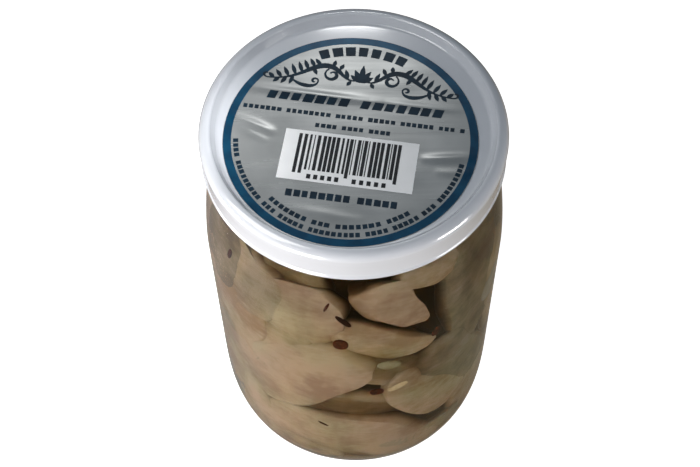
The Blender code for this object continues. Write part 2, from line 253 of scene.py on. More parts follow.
# Tones of the core, a dark filler that is painted shade for the gaps, and of the onion: dark, middle,
# pale, and how metallic
CORE_TONES = ((0.08, 0.05, 0.03), (0.13, 0.09, 0.055), (0.18, 0.13, 0.09), 0.0)
ONION_TONES = ((0.25, 0.22, 0.15), (0.32, 0.28, 0.20), (0.42, 0.38, 0.28), 0.0)
# Inks: dark, light, how metallic and how rough
BLUE_INK = ((0.003, 0.014, 0.028), (0.005, 0.026, 0.048), 0.2, 0.36)
RING_INK = ((0.002, 0.045, 0.100), (0.003, 0.068, 0.140), 0.3, 0.28)
WHITE_INK = ((0.92, 0.92, 0.92), (0.95, 0.95, 0.95), 0.0, 0.4)
BLACK_INK = ((0.010, 0.010, 0.012), (0.016, 0.016, 0.018), 0.0, 0.4)

# Creases of the foil, in label coordinates: from (x, y) to (x, y), half width and height
CREASES = (
    (-0.034, 0.0200, 0.010, 0.0125, 0.0013, 0.00022),
    (0.006, 0.0135, 0.034, 0.0090, 0.0012, 0.00014),
    (-0.036, 0.0090, -0.022, 0.0020, 0.0014, 0.00030),
    (-0.034, 0.0050, -0.024, -0.0010, 0.0010, 0.00016),
    (0.020, -0.0080, 0.036, -0.0078, 0.0012, 0.00028),
    (0.024, -0.0125, 0.035, -0.0135, 0.0010, 0.00014),
    (-0.020, -0.0240, 0.004, -0.0290, 0.0016, 0.00012),
)

# The share of its room that a dash takes up and of its height, at least and at most, and the gap
# between two words in dashes
DASH_WIDTHS = (0.68, 0.84)
DASH_HEIGHTS = (0.85, 1.0)
WORD_GAP = 0.7
# Print, in its own tilted layout. Lines of dashes: start, end, height on the label, height of a dash,
# room for one dash, slant, and the fewest and most dashes in a word
PRINT_LINES = (
    (-0.0268, -0.0008, 0.0123, 0.0030, 0.0036, 0.25, (7, 7)),
    (0.0014, 0.0278, 0.0123, 0.0030, 0.0036, 0.25, (7, 7)),
    (-0.0334, 0.0336, 0.0071, 0.0016, 0.0017, 0.0, (3, 8)),
    (-0.0110, 0.0124, 0.0030, 0.0016, 0.0017, 0.0, (4, 7)),
    (-0.0156, 0.0175, -0.0216, 0.0025, 0.0024, 0.0, (3, 8)),
)
# The same round the middle: radius, start and end in degrees clockwise from the top, height of a dash,
# room for one dash, and the fewest and most dashes in a word
TOP_ARC = (0.0322, -25.5, 26.5, 0.0034, 0.0040, (7, 7))
LOWER_ARCS = (
    (0.0337, 98, 262, 0.0015, 0.0017, (3, 9)),
    (0.0311, 139, 221, 0.0015, 0.0019, (3, 9)),
)
# Leaves of the scroll's right half: foot, lean in degrees and length
SCROLL_LEAVES = (
    ((0.0128, 0.0252), 48, 0.0032),
    ((0.0146, 0.0244), 58, 0.0036),
    ((0.0164, 0.0231), 64, 0.0040),
    ((0.0181, 0.0217), 68, 0.0044),
    ((0.0199, 0.0206), 66, 0.0044),
    ((0.0219, 0.0197), 60, 0.0040),
    ((0.0240, 0.0191), 52, 0.0034),
    ((0.0262, 0.0187), 40, 0.0026),
    ((0.0205, 0.0202), -75, 0.0034),
    ((0.0225, 0.0195), -62, 0.0030),
    ((0.0246, 0.0190), -48, 0.0026),
    ((0.0150, 0.0240), -120, 0.0028),
    ((0.0070, 0.0243), 112, 0.0026),
    ((0.0090, 0.0254), 96, 0.0024),
    ((0.0040, 0.0213), 70, 0.0036),
    ((0.0030, 0.0206), -60, 0.0022),
)
SCROLL_LEAF_WIDTH = 0.0013
# Leaves of the crown between the halves: lean in degrees and length, all on one foot
CROWN_FOOT = (0.0, 0.0204)
CROWN_LEAVES = ((90, 0.0066), (62, 0.0052), (118, 0.0052), (35, 0.0042), (145, 0.0042))
CROWN_WIDTH = 0.0018
# White panel: its middle, foot, size and strips. Bars on it: module, ends, top, the feet of plain and long
# bars, where the long ones are, and the small dashes under them
PANEL_MIDDLE = 0.0006
PANEL_FOOT = -0.0171
PANEL_SIZE = (0.0396, 0.0177)
PANEL_STRIPS = 12
BAR_MODULE = 0.00033
BAR_ENDS = (-0.0150, 0.0160)
BAR_TOP = -0.0006
BAR_FOOT = -0.0132
LONG_BAR_FOOT = -0.0146
LONG_BARS_OUTSIDE = (-0.0122, 0.0137)
LONG_BARS_IN_MIDDLE = 0.0009
BAR_PIECES = 6
UNDER_BARS = ((-0.0110, -0.0008), (0.0022, 0.0130))
UNDER_DASHES = 5
UNDER_HEIGHT = -0.0154
UNDER_HALF = (0.0006, 0.0008)

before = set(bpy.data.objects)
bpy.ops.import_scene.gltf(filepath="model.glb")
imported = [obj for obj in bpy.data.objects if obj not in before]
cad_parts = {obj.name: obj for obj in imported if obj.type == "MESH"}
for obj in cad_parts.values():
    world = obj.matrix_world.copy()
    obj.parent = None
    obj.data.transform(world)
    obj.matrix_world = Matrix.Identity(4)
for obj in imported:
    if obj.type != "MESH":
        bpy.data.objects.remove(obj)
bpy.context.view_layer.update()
noise.seed_set(NOISE_SEED)


def arc(centre, radii, start, end, steps, squareness=2.0):
    """Points on an ellipse in the (radius, height) plane, or on a squarer form of one, angles in degrees
    from straight out."""
    points = []
    for step in range(steps + 1):
        angle = math.radians(start + (end - start) * step / steps)
        out, up = (
            math.copysign(abs(share) ** (2.0 / squareness), share)
            for share in (math.cos(angle), math.sin(angle))
        )
        points.append((centre[0] + radii[0] * out, centre[1] + radii[1] * up))
    return points


def new_object(name, mesh, *materials):
    """An object in the scene, from a mesh and its materials."""
    thing = bpy.data.objects.new(name, mesh)
    bpy.context.scene.collection.objects.link(thing)
    for material in materials:
        mesh.materials.append(material)
    return thing


def turned(name, profile, material):
    """Turns a profile of (radius, height) points round the Z axis."""
    mesh = bpy.data.meshes.new(name)
    edges = [(i, i + 1) for i in range(len(profile) - 1)]
    mesh.from_pydata([(r, 0.0, z) for r, z in profile], edges, [])
    thing = new_object(name, mesh, material)
    screw = thing.modifiers.new("Turn", "SCREW")
    screw.axis = "Z"
    screw.steps = TURN_STEPS
    screw.render_steps = TURN_STEPS
    screw.use_merge_vertices = True
    screw.merge_threshold = 0.000002
    screw.use_smooth_shade = True
    return thing


def wall_radius(height, radius, foot, heel, edge):
    """Radius of a face of the glass at a height: straight, with a slow curve in to the shoulder's edge
    and a tall, square one to the foot."""
    if height < HEEL_HEIGHT:
        drop = min((HEEL_HEIGHT - height) / (HEEL_HEIGHT - foot), 1.0)
        return radius - heel * (1.0 - (1.0 - drop**HEEL_SQUARENESS) ** (1.0 / HEEL_SQUARENESS))
    rise = (height - SHOULDER_START) / (SHOULDER_TOP - SHOULDER_START)
    return radius - (radius - edge) * min(max(rise, 0.0), 1.0) ** SHOULDER_CURVE


def inner_radius(height):
    """Radius of the inside of the glass at a height."""
    return wall_radius(height, INSIDE_RADIUS, BASE, INSIDE_HEEL, NECK_INSIDE)


def shoulder(radius, edge, steps):
    """Points up the shoulder of one face of the glass."""
    rise = SHOULDER_TOP - SHOULDER_START
    heights = [SHOULDER_START + rise * step / steps for step in range(steps + 1)]
    return [(wall_radius(z, radius, 0.0, 0.0, edge), z) for z in heights]


def jar_profile():
    """From the middle of the floor up the inside, over the mouth and down the outside to the base."""
    inner_centre = (INSIDE_RADIUS - INSIDE_HEEL, HEEL_HEIGHT)
    outer_centre = (BODY_RADIUS - HEEL_WIDTH, HEEL_HEIGHT)
    inner_heel = (INSIDE_HEEL, HEEL_HEIGHT - BASE)
    outer_heel = (HEEL_WIDTH, HEEL_HEIGHT)
    lip = (NECK_RADIUS - NECK_INSIDE) / 2
    profile = [(0.0, FLOOR_INSIDE), (PUSH_UP_RADIUS, FLOOR_EDGE)]
    profile += arc(inner_centre, inner_heel, -90, 0, 22, HEEL_SQUARENESS)
    profile += shoulder(INSIDE_RADIUS, NECK_INSIDE, 20)
    profile += arc((NECK_INSIDE + lip, MOUTH_TOP - lip), (lip, lip), 180, 0, 8)
    profile += arc((NECK_RADIUS, THREAD_HEIGHT), (THREAD_DEPTH, THREAD_HALF_WIDTH), 90, -90, 8)
    profile += [(NECK_RADIUS, SHOULDER_TOP)]
    profile += shoulder(BODY_RADIUS, SHOULDER_EDGE, 24)[::-1]
    profile += arc(outer_centre, outer_heel, 0, -90, 24, HEEL_SQUARENESS)
    profile += [(RING_INNER, 0.0), (PUSH_UP_RADIUS, PUSH_UP), (0.0, PUSH_UP)]
    return profile


def lid_profile():
    """From the middle of the panel over the raised rim, down the skirt, round its curl and back inside."""
    shoulder = (CREST_RADIUS, TOTAL_HEIGHT - LID_SHOULDER)
    crest = (CREST_RADIUS, TOTAL_HEIGHT - CREST_ROUND)
    inside_shoulder = LID_SHOULDER - SHEET
    inside_crest = CREST_ROUND - SHEET
    skirt = LID_RADIUS - SKIRT_PULL_IN
    curl_centre = (LID_RADIUS - CURL, LID_BOTTOM + CURL)
    flat = PANEL_RADIUS - PANEL_FILLET[0]
    profile = [(0.0, PANEL_TOP), (flat - FLAT_MARGIN, PANEL_TOP), (flat, PANEL_TOP)]
    profile += arc((flat, PANEL_TOP + PANEL_FILLET[1]), PANEL_FILLET, -80, -5, 6)
    profile += arc(crest, (CREST_ROUND, CREST_ROUND), 180, 90, 8)
    profile += arc(shoulder, (LID_SHOULDER, LID_SHOULDER), 80, 0, 12)
    profile += [(skirt, TOTAL_HEIGHT - 2 * LID_SHOULDER), (skirt, LID_BOTTOM + 3 * CURL)]
    profile += arc(curl_centre, (CURL, CURL), 50, -180, 14)
    profile += [(skirt - SHEET, LID_BOTTOM + 3 * CURL), (skirt - SHEET, TOTAL_HEIGHT - 2 * LID_SHOULDER)]
    profile += arc(shoulder, (inside_shoulder, inside_shoulder), 0, 72, 8)
    profile += arc(crest, (inside_crest, inside_crest), 90, 180, 5)
    profile += [(PANEL_RADIUS + FLAT_MARGIN, PANEL_TOP - SHEET), (0.0, PANEL_TOP - SHEET)]
    return profile


def brine_profile():
    """The brine's outside, just into the glass, from its surface down to the middle of the floor."""
    neck = NECK_INSIDE + INTO_WALL
    heel = (INSIDE_HEEL + INTO_WALL, HEEL_HEIGHT - BASE + INTO_WALL)
    profile = [(0.0, BRINE_TOP), (neck, BRINE_TOP)]
    profile += shoulder(INSIDE_RADIUS + INTO_WALL, neck, 24)[::-1]
    profile += arc((INSIDE_RADIUS - INSIDE_HEEL, HEEL_HEIGHT), heel, 0, -90, 22, HEEL_SQUARENESS)
    profile += [(PUSH_UP_RADIUS, FLOOR_EDGE - INTO_WALL), (0.0, FLOOR_INSIDE - INTO_WALL)]
    return profile


def set_inputs(tree, node, inputs):
    """Gives a node's inputs, by name, a value each or a link from another node's output."""
    for key, value in inputs.items():
        socket = node.inputs[key.replace("_", " ")]
        if isinstance(value, bpy.types.NodeSocket):
            tree.links.new(value, socket)
        else:
            socket.default_value = value


def node_adder(tree):
    """A helper that adds a node to a tree, with its settings and its inputs."""

    def add(kind, settings=None, **inputs):
        node = tree.nodes.new(kind)
        for key, value in (settings or {}).items():
            setattr(node, key, value)
        set_inputs(tree, node, inputs)
        return node

    return add


def new_material(name):
    """A material, the helper that adds nodes to it and one that sets its shader's inputs."""
    material = bpy.data.materials.new(name)
    material.use_nodes = True
    tree = material.node_tree

    def shade(**inputs):
        set_inputs(tree, tree.nodes["Principled BSDF"], inputs)

    return material, node_adder(tree), shade


def ramp(add, factor, stops):
    """A colour ramp over a factor: stops are (position, (r, g, b))."""
    node = add("ShaderNodeValToRGB", Fac=factor)
    elements = node.color_ramp.elements
    elements[0].position, elements[0].color = stops[0][0], (*stops[0][1], 1.0)
    elements[1].position, elements[1].color = stops[-1][0], (*stops[-1][1], 1.0)
    for position, colour in stops[1:-1]:
        elements.new(position).color = (*colour, 1.0)
    return node.outputs["Color"]


def noise_at(add, scale, detail=3.0, stretch=None, roughness=0.5):
    """Noise over the object's own coordinates, stretched along an axis where asked."""
    place = add("ShaderNodeTexCoord").outputs["Object"]
    if stretch:
        place = add("ShaderNodeMapping", Vector=place, Scale=stretch).outputs["Vector"]
    return add("ShaderNodeTexNoise", Vector=place, Scale=scale, Detail=detail, Roughness=roughness)


def glass_material(name, ior):
    """Clear soda glass with the faint waviness of a moulded jar."""
    material, add, shade = new_material(name)
    waves = noise_at(add, 55.0, 1.0, (1.0, 1.0, 0.5)).outputs["Fac"]
    bump = add("ShaderNodeBump", Strength=0.06, Distance=0.0004, Height=waves)
    shade(
        Base_Color=(0.97, 0.99, 0.98, 1.0),
        Roughness=0.02,
        IOR=ior,
        Transmission_Weight=1.0,
        Normal=bump.outputs["Normal"],
    )
    return material


def brine_material():
    """Slightly tan vinegar brine: clear, and browner the further one looks into it. It bends no light
    itself, because the inside of the glass already bends it by the ratio of glass to brine."""
    material, add, shade = new_material("brine")
    shade(
        Base_Color=(1.0, 1.0, 1.0, 1.0),
        Roughness=0.0,
        IOR=1.0,
        Transmission_Weight=1.0,
    )
    depth = add("ShaderNodeVolumeAbsorption", Color=(0.80, 0.67, 0.48, 1.0), Density=260.0)
    out = material.node_tree.nodes["Material Output"]
    material.node_tree.links.new(depth.outputs["Volume"], out.inputs["Volume"])
    return material


def lid_material():
    """Glossy white stove enamel with a faint orange peel."""
    material, add, shade = new_material("white_enamel")
    fine = noise_at(add, 900.0, 2.0).outputs["Fac"]
    wide = noise_at(add, 40.0, 2.0).outputs["Fac"]
    tone = ramp(add, wide, [(0.3, (0.61, 0.63, 0.67)), (0.7, (0.66, 0.68, 0.72))])
    rough = add("ShaderNodeMapRange", Value=wide, To_Min=0.16, To_Max=0.26)
    bump = add("ShaderNodeBump", Strength=0.02, Distance=0.0001, Height=fine)
    shade(
        Base_Color=tone,
        Roughness=rough.outputs["Result"],
        Coat_Weight=1.0,
        Coat_Roughness=0.06,
        Normal=bump.outputs["Normal"],
    )
    return material


def foil_material():
    """Satin silver foil with fine rolling lines."""
    material, add, shade = new_material("silver_foil")
    lines = noise_at(add, 60.0, 4.0, (0.4, 6.0, 1.0)).outputs["Fac"]
    cloud = noise_at(add, 70.0, 3.0).outputs["Fac"]
    tone = ramp(add, cloud, [(0.3, (0.41, 0.42, 0.41)), (0.7, (0.51, 0.52, 0.51))])
    rough = add("ShaderNodeMapRange", Value=lines, To_Min=0.20, To_Max=0.32)
    bump = add("ShaderNodeBump", Strength=0.12, Distance=0.0002, Height=lines)
    shade(
        Base_Color=tone,
        Metallic=0.6,
        Roughness=rough.outputs["Result"],
        Normal=bump.outputs["Normal"],
    )
    return material


def print_material(name, dark, light, metallic, roughness):
    """Ink on the foil, with a little of its uneven cover."""
    material, add, shade = new_material(name)
    cover = noise_at(add, 260.0, 3.0).outputs["Fac"]
    shade(
        Base_Color=ramp(add, cover, [(0.35, dark), (0.65, light)]),
        Metallic=metallic,
        Roughness=roughness,
    )
    return material


def nearness(add):
    """How near to the glass a place is, as the mask of the painted shade: 0 where that shade is full and 1
    just inside the wall. Both distances shrink where the shoulder narrows."""
    place = add("ShaderNodeTexCoord").outputs["Object"]
    flat = add("ShaderNodeMapping", Vector=place, Scale=(1.0, 1.0, 0.0)).outputs["Vector"]
    reach = add("ShaderNodeVectorMath", {"operation": "LENGTH"}, Vector=flat).outputs["Value"]
    height = add("ShaderNodeSeparateXYZ", Vector=place).outputs["Z"]

    def narrowed(distance):
        rise = {"From_Min": NARROWS_FROM, "From_Max": SHOULDER_TOP}
        fall = {"To_Min": distance, "To_Max": distance - INSIDE_RADIUS + NECK_INSIDE}
        return add("ShaderNodeMapRange", Value=height, **rise, **fall).outputs["Result"]

    ends = {"From_Min": narrowed(DEEP), "From_Max": narrowed(NEAR_GLASS)}
    share = add("ShaderNodeMapRange", {"interpolation_type": "SMOOTHSTEP"}, Value=reach, **ends)
    return share.outputs["Result"]


def fish_material(name, dark, middle, pale, shine):
    """Pickled herring flesh: soft clouds of tone, fine muscle lines, painted shade where it lies back from
    the glass, and a moist surface.
    """
    material, add, shade = new_material(name)
    cloud = noise_at(add, 62.0, 5.0, (1.0, 1.0, 0.8), 0.6).outputs["Fac"]
    lines = noise_at(add, 230.0, 3.0, (1.0, 1.0, 3.0)).outputs["Fac"]
    grain = add("ShaderNodeMix", Factor=0.2, A=cloud, B=lines).outputs["Result"]
    flesh = ramp(add, grain, [(0.40, dark), (0.50, middle), (0.59, pale)])
    patches = noise_at(add, 30.0, 2.0).outputs["Fac"]
    tint = ramp(add, patches, [(0.42, GREENISH), (0.58, PINKISH)])
    multiply = {"data_type": "RGBA", "blend_type": "MULTIPLY"}
    tinted = add("ShaderNodeMix", multiply, Factor=1.0, A=flesh, B=tint).outputs["Result"]
    # Painted shade: dark brown where the flesh lies back from the glass
    painted_shade = (*PAINTED_SHADE_TONE, 1.0)
    tone = add("ShaderNodeMix", {"data_type": "RGBA"}, Factor=nearness(add), A=painted_shade, B=tinted)
    bump = add("ShaderNodeBump", Strength=0.35, Distance=0.0006, Height=grain)
    shade(
        Base_Color=tone.outputs["Result"],
        Roughness=0.45,
        Metallic=shine,
        Specular_IOR_Level=0.15,
        Subsurface_Weight=0.35,
        Subsurface_Radius=(0.0030, 0.0020, 0.0012),
        Subsurface_Scale=1.0,
        Normal=bump.outputs["Normal"],
    )
    return material


def spice_material(name, dark, light):
    """Dried spice: mottled brown with a rough skin."""
    material, add, shade = new_material(name)
    mottle = noise_at(add, 900.0, 3.0).outputs["Fac"]
    bump = add("ShaderNodeBump", Strength=0.4, Distance=0.0002, Height=mottle)
    shade(
        Base_Color=ramp(add, mottle, [(0.35, dark), (0.65, light)]),
        Roughness=0.55,
        Specular_IOR_Level=0.15,
        Normal=bump.outputs["Normal"],
    )
    return material


def floor_material():
    """A plain pale surface, lit up enough to stay white."""
    material, add, shade = new_material("pale_floor")
    cloud = noise_at(add, 3.0, 2.0).outputs["Fac"]
    shade(
        Base_Color=ramp(add, cloud, [(0.3, (0.80, 0.80, 0.80)), (0.7, (0.83, 0.83, 0.83))]),
        Roughness=0.8,
        Emission_Color=(1.0, 1.0, 1.0, 1.0),
        Emission_Strength=0.95,
    )
    return material


def foil_height(x, y):
    """Height of the wrinkled foil over the lid's panel at a place on the label."""
    wave = Vector((x * FOIL_WAVES[0], y * FOIL_WAVES[1], FOIL_WAVES[2]))
    height = FOIL_RIPPLE * (1.0 + noise.noise(wave))
    for x0, y0, x1, y1, half_width, rise in CREASES:
        along = Vector((x1 - x0, y1 - y0))
        share = ((x - x0) * along.x + (y - y0) * along.y) / along.length_squared
        nearest = min(max(share, 0.0), 1.0)
        away = math.hypot(x - x0 - nearest * along.x, y - y0 - nearest * along.y)
        ends = math.sin(math.pi * nearest) ** 0.7 if 0.0 < nearest < 1.0 else 0.0
        height += rise * ends * math.exp(-((away / half_width) ** 2))
    return height


def on_label(x, y, lift=0.0):
    """A place on the label in the label's own coordinates, as a point on the foil."""
    z = PANEL_TOP + FOIL_LIFT + foil_height(x, y) + lift
    return Vector((LABEL_OFFSET[0] + x, LABEL_OFFSET[1] + y, z))


def on_print(u, v, lift=PRINT_LIFT):
    """A place in the print's tilted layout, as a point just over the foil."""
    lean = math.radians(PRINT_TILT)
    x = u * math.cos(lean) - v * math.sin(lean)
    y = u * math.sin(lean) + v * math.cos(lean)
    return on_label(x, y, lift)


def make_jar():
    """The glass, its inside below the brine's surface bending light as glass against brine does."""
    profile = jar_profile()
    dry = glass_material("clear_glass", GLASS_IOR)
    wet = glass_material("wet_glass", GLASS_IOR / BRINE_IOR)
    jar = turned("glass_jar", profile, dry)
    graph = bpy.context.evaluated_depsgraph_get()
    mesh = bpy.data.meshes.new_from_object(jar.evaluated_get(graph))
    jar.modifiers.clear()
    jar.data = mesh
    mesh.materials.append(wet)
    for face in mesh.polygons:
        middle = face.center
        beside_brine = BASE - WALL / 3 < middle.z < BRINE_TOP
        if beside_brine and math.hypot(middle.x, middle.y) < inner_radius(middle.z) + WALL / 3:
            face.material_index = 1
    return jar


def make_foil(material):
    """The foil disc as a fine, slightly wrinkled sheet with a thin edge."""
    shape = bmesh.new()
    rows = []
    for ring in range(1, FOIL_RINGS + 1):
        radius = LABEL_RADIUS * ring / FOIL_RINGS
        row = []
        for side in range(FOIL_SIDES):
            angle = math.tau * side / FOIL_SIDES
            row.append(shape.verts.new(on_label(radius * math.cos(angle), radius * math.sin(angle))))
        rows.append(row)
    skirt = []
    for vert in rows[-1]:
        skirt.append(shape.verts.new((vert.co.x, vert.co.y, PANEL_TOP + FOIL_FOOT)))
    rows.append(skirt)
    middle = shape.verts.new(on_label(0.0, 0.0))
    for side in range(FOIL_SIDES):
        shape.faces.new((middle, rows[0][side], rows[0][(side + 1) % FOIL_SIDES]))
    for inner, outer in zip(rows, rows[1:]):
        for side in range(FOIL_SIDES):
            after = (side + 1) % FOIL_SIDES
            shape.faces.new((inner[side], outer[side], outer[after], inner[after]))
    mesh = bpy.data.meshes.new("label_foil")
    shape.to_mesh(mesh)
    shape.free()
    mesh.shade_smooth()
    return new_object("label_foil", mesh, material)


def add_band(shape, left, right):
    """A flat strip of print between two rows of (u, v) places."""
    a = [shape.verts.new(on_print(*place)) for place in left]
    b = [shape.verts.new(on_print(*place)) for place in right]
    for i in range(len(a) - 1):
        face = shape.faces.new((a[i], b[i], b[i + 1], a[i + 1]))
        face.normal_update()
        if face.normal.z < 0:
            face.normal_flip()


def add_line(shape, places, width):
    """A pen line through (u, v) places, its width given along it from 0 to 1."""
    left, right = [], []
    last = len(places) - 1
    for i, (u, v) in enumerate(places):
        before, after = places[max(i - 1, 0)], places[min(i + 1, last)]
        run = Vector((after[0] - before[0], after[1] - before[1])).normalized()
        half = width(i / last) / 2
        left.append((u - run.y * half, v + run.x * half))
        right.append((u + run.y * half, v - run.x * half))
    add_band(shape, left, right)


def add_block(shape, u, v, width, height, slant=0.0):
    """A block of print with its middle at (u, v), in a few strips so that it follows the foil."""
    steps = max(2, int(width / PRINT_STEP))
    low, high = [], []
    for i in range(steps + 1):
        along = u + width * (i / steps - 0.5)
        low.append((along - slant * height / 2, v - height / 2))
        high.append((along + slant * height / 2, v + height / 2))
    add_band(shape, low, high)


def round_place(radius, degrees):
    """A (u, v) place at a radius and an angle clockwise from the print's top."""
    angle = math.radians(degrees)
    return (radius * math.sin(angle), radius * math.cos(angle))


def add_dashes(shape, rng, start, end, v, height, cell, slant, run):
    """A straight line of word-long runs of small blocks from start to end."""
    u = start
    while u < end - cell:
        for _ in range(rng.randint(*run)):
            if u > end - cell:
                break
            width = cell * rng.uniform(*DASH_WIDTHS)
            add_block(shape, u + width / 2, v, width, height * rng.uniform(*DASH_HEIGHTS), slant)
            u += cell
        u += cell * WORD_GAP


def add_arc_dashes(shape, rng, radius, start, end, height, cell, run):
    """The same along an arc, from one angle to another in degrees clockwise from the top."""
    step = math.degrees(cell / radius)
    angle = start
    while angle < end - step:
        for _ in range(rng.randint(*run)):
            if angle > end - step:
                break
            width = step * rng.uniform(*DASH_WIDTHS)
            sweep = [angle + width * i / 3 for i in range(4)]
            add_band(
                shape,
                [round_place(radius - height / 2, spot) for spot in sweep],
                [round_place(radius + height / 2, spot) for spot in sweep],
            )
            angle += step
        angle += step * WORD_GAP


def spiral(centre, start_radius, end_radius, start, end, steps=40):
    """Places on a spiral round a centre, angles in degrees."""
    places = []
    for i in range(steps + 1):
        share = i / steps
        angle = math.radians(start + (end - start) * share)
        radius = start_radius + (end_radius - start_radius) * share
        places.append((centre[0] + radius * math.cos(angle), centre[1] + radius * math.sin(angle)))
    return places


def bend(a, b, c, d, steps=36):
    """Places on a cubic curve between a and d, pulled by b and c."""
    places = []
    for i in range(steps + 1):
        t = i / steps
        weights = ((1 - t) ** 3, 3 * t * (1 - t) ** 2, 3 * t * t * (1 - t), t**3)
        places.append(
            tuple(sum(w * p[axis] for w, p in zip(weights, (a, b, c, d))) for axis in (0, 1))
        )
    return places


def add_leaf(shape, foot, lean, length, width):
    """A pointed leaf growing from its foot."""
    run = (math.cos(math.radians(lean)), math.sin(math.radians(lean)))
    places = [(foot[0] + run[0] * length * i / 10, foot[1] + run[1] * length * i / 10) for i in range(11)]
    add_line(shape, places, lambda share: width * math.sin(math.pi * min(share + 0.02, 0.98)) ** 0.8)


def add_scroll(shape, side):
    """One half of a plain symmetric scroll ornament; side is -1 or 1."""

    def mirrored(places):
        return [(side * u, v) for u, v in places]

    def swell(thick):
        return lambda share: 0.0005 + thick * math.sin(math.pi * share) ** 2

    stem = bend((0.0010, 0.0212), (0.0055, 0.0190), (0.0065, 0.0262), (0.0118, 0.0253))
    stem += bend((0.0118, 0.0253), (0.0165, 0.0246), (0.0190, 0.0185), (0.0284, 0.0186))[1:]
    add_line(shape, mirrored(stem), swell(0.0014))
    add_line(shape, mirrored(spiral((0.0090, 0.0222), 0.0024, 0.0007, 60, -330)), swell(0.0007))
    curl = bend((0.0215, 0.0198), (0.0190, 0.0165), (0.0130, 0.0160), (0.0128, 0.0192))
    add_line(shape, mirrored(curl), swell(0.0009))
    add_line(shape, mirrored(spiral((0.0139, 0.0192), 0.0011, 0.0004, 180, -120, 20)), swell(0.0003))
    tip = bend((0.0284, 0.0186), (0.0300, 0.0190), (0.0296, 0.0206), (0.0284, 0.0202), 12)
    add_line(shape, mirrored(tip), swell(0.0003))
    for foot, lean, length in SCROLL_LEAVES:
        lean = lean if side > 0 else 180 - lean
        add_leaf(shape, (side * foot[0], foot[1]), lean, length, SCROLL_LEAF_WIDTH)


def make_blue_print(material):
    """The scroll ornament and the rows of plain dashes."""
    rng = random.Random(PRINT_SEED)
    shape = bmesh.new()
    add_arc_dashes(shape, rng, *TOP_ARC)
    for side in (-1, 1):
        add_scroll(shape, side)
    for lean, length in CROWN_LEAVES:
        add_leaf(shape, CROWN_FOOT, lean, length, CROWN_WIDTH)
    for line in PRINT_LINES:
        add_dashes(shape, rng, *line)
    for bow in LOWER_ARCS:
        add_arc_dashes(shape, rng, *bow)
    return print_piece("print_blue", shape, material)


def print_piece(name, shape, material):
    """A finished piece of print as an object."""
    mesh = bpy.data.meshes.new(name)
    shape.to_mesh(mesh)
    shape.free()
    return new_object(name, mesh, material)


def make_ring(material):
    """The blue ring round the label."""
    shape = bmesh.new()
    for start in range(0, 360, RING_STEP):
        turns = (start, start + RING_STEP)
        for low, high in ((RING_RADIUS, RING_MIDDLE), (RING_MIDDLE, LABEL_RADIUS - RING_EDGE)):
            add_band(
                shape,
                [round_place(low, turn) for turn in turns],
                [round_place(high, turn) for turn in turns],
            )
    bmesh.ops.remove_doubles(shape, verts=shape.verts, dist=0.000001)
    return print_piece("print_ring", shape, material)


def make_panel(material):
    """The white panel that carries the bars."""
    shape = bmesh.new()
    width, height = PANEL_SIZE
    strip = height / PANEL_STRIPS
    for row in range(PANEL_STRIPS):
        add_block(shape, PANEL_MIDDLE, PANEL_FOOT + strip * (row + 0.5), width, strip)
    bmesh.ops.remove_doubles(shape, verts=shape.verts, dist=0.000001)
    return print_piece("print_panel", shape, material)


def bar_foot(u):
    """How far down a bar reaches: further at both ends and in the middle."""
    outside = u < LONG_BARS_OUTSIDE[0] or u > LONG_BARS_OUTSIDE[1]
    if outside or abs(u - PANEL_MIDDLE) < LONG_BARS_IN_MIDDLE:
        return LONG_BAR_FOOT
    return BAR_FOOT


def add_bar(shape, left, right, top, foot, pieces):
    """An upright bar on the white panel, in a few pieces so that it follows the foil."""
    lift = PRINT_LIFT * 2
    for step in range(pieces):
        high = top + (foot - top) * step / pieces
        low = top + (foot - top) * (step + 1) / pieces
        corners = ((left, low), (right, low), (right, high), (left, high))
        shape.faces.new([shape.verts.new(on_print(*corner, lift)) for corner in corners])


def make_bars(material):
    """A plain pattern of upright bars that stands for nothing, with small dashes under it."""
    rng = random.Random(BARS_SEED)
    shape = bmesh.new()
    u, end = BAR_ENDS
    while u < end:
        bar = BAR_MODULE * rng.choice((1, 2, 2, 3, 3))
        add_bar(shape, u, u + bar, BAR_TOP, bar_foot(u), BAR_PIECES)
        u += bar + BAR_MODULE * rng.choice((1, 1, 2, 2))
    half_width, half_height = UNDER_HALF
    for start, end in UNDER_BARS:
        for i in range(UNDER_DASHES):
            middle = start + (end - start) * (i + 0.5) / UNDER_DASHES
            ends = (UNDER_HEIGHT + half_height, UNDER_HEIGHT - half_height)
            add_bar(shape, middle - half_width, middle + half_width, *ends, 1)
    return print_piece("print_bars", shape, material)


def on_glass(angle, height, along, up, depth):
    """A point given along and up the glass from a spot on it, and inwards from it."""
    turn = math.radians(angle) + along / INSIDE_RADIUS
    z = min(max(height + up, FLOOR_INSIDE + GAP * 2), WALL_TOP)
    radius = inner_radius(z) - GAP - depth
    return Vector((radius * math.sin(turn), -radius * math.cos(turn), z))


def rounded_block(cuts, squareness=PIECE_SQUARENESS):
    """A closed block with rounded edges, between -1 and 1 each way, as a bmesh."""
    block = bmesh.new()
    bmesh.ops.create_cube(block, size=2.0)
    bmesh.ops.subdivide_edges(block, edges=block.edges, cuts=cuts, use_grid_fill=True)
    for vert in block.verts:
        x, y, z = (abs(value) ** squareness for value in vert.co.normalized())
        vert.co = vert.co.normalized() / (x + y + z) ** (1 / squareness)
    return block


def unevenness(spot, seed):
    """A smooth offset that differs from piece to piece, about -1 to 1 each way."""
    shift = Vector([seed * part for part in UNEVEN_SHIFT])
    return noise.noise_vector(spot * UNEVEN_SCALE + shift) * 2


